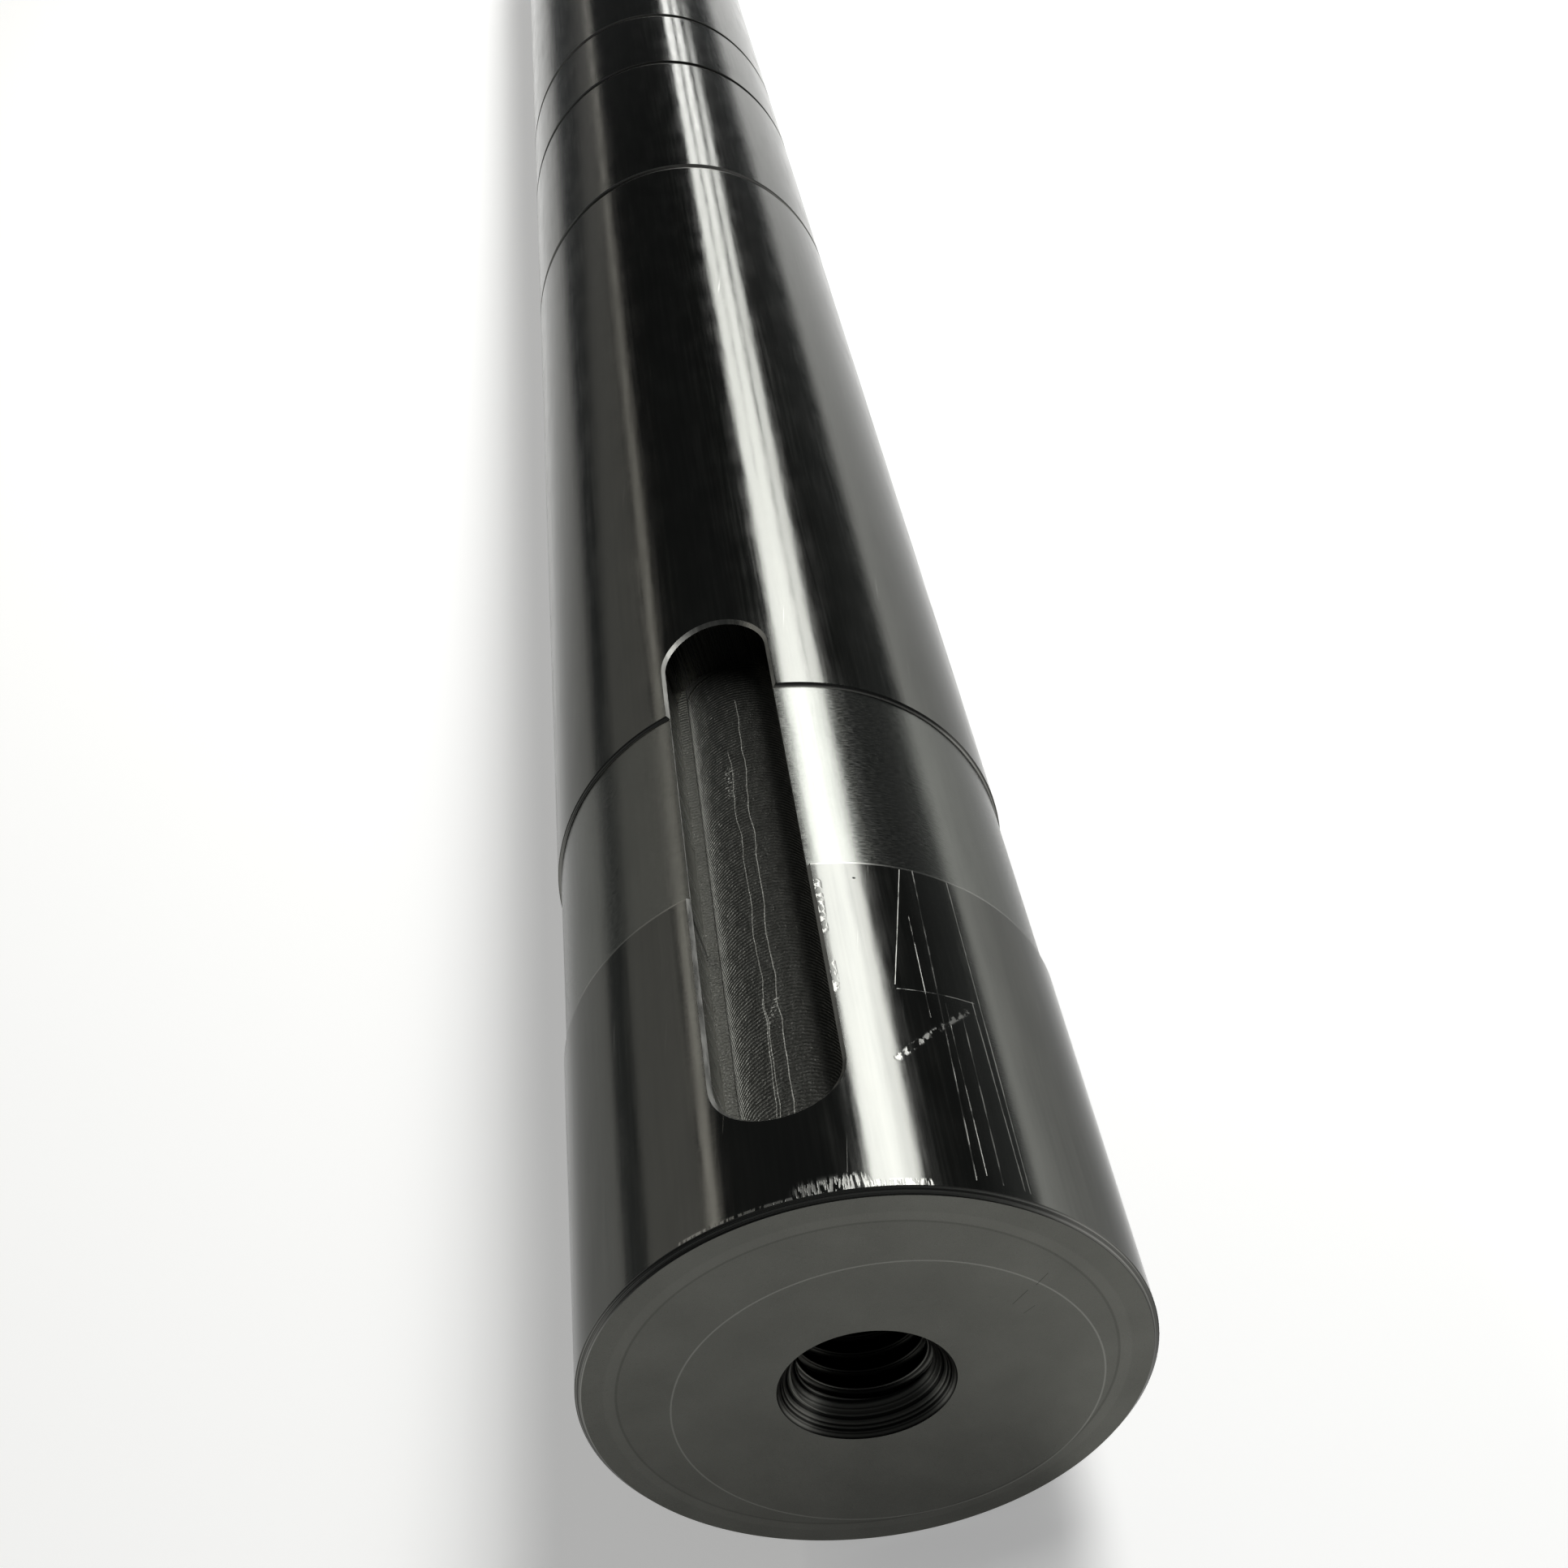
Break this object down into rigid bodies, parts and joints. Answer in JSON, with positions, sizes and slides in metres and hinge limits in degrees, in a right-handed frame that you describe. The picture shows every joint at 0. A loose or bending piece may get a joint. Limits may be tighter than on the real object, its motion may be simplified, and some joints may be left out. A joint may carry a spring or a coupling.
{
  "type": "stepped shaft",
  "caption": "Long ground steel shaft with a round-ended keyway, a turned relief, shallow grooves between its lands and a tapped centre hole.",
  "frame": {"origin": "centre of the drive end's face, at the mouth of the tapped centre hole", "axes": "+Y along the shaft from the drive end to the far end, +Z out of the keyway, +X to the right when looking along +Y"},
  "size_m": [0.045, 0.56, 0.045],
  "materials": {
    "ground_steel": "ground and polished, satin on the relief and the end face"
  },
  "bodies": {
    "root": {"stepped_shaft": "ground_steel"}
  },
  "joints": []
}
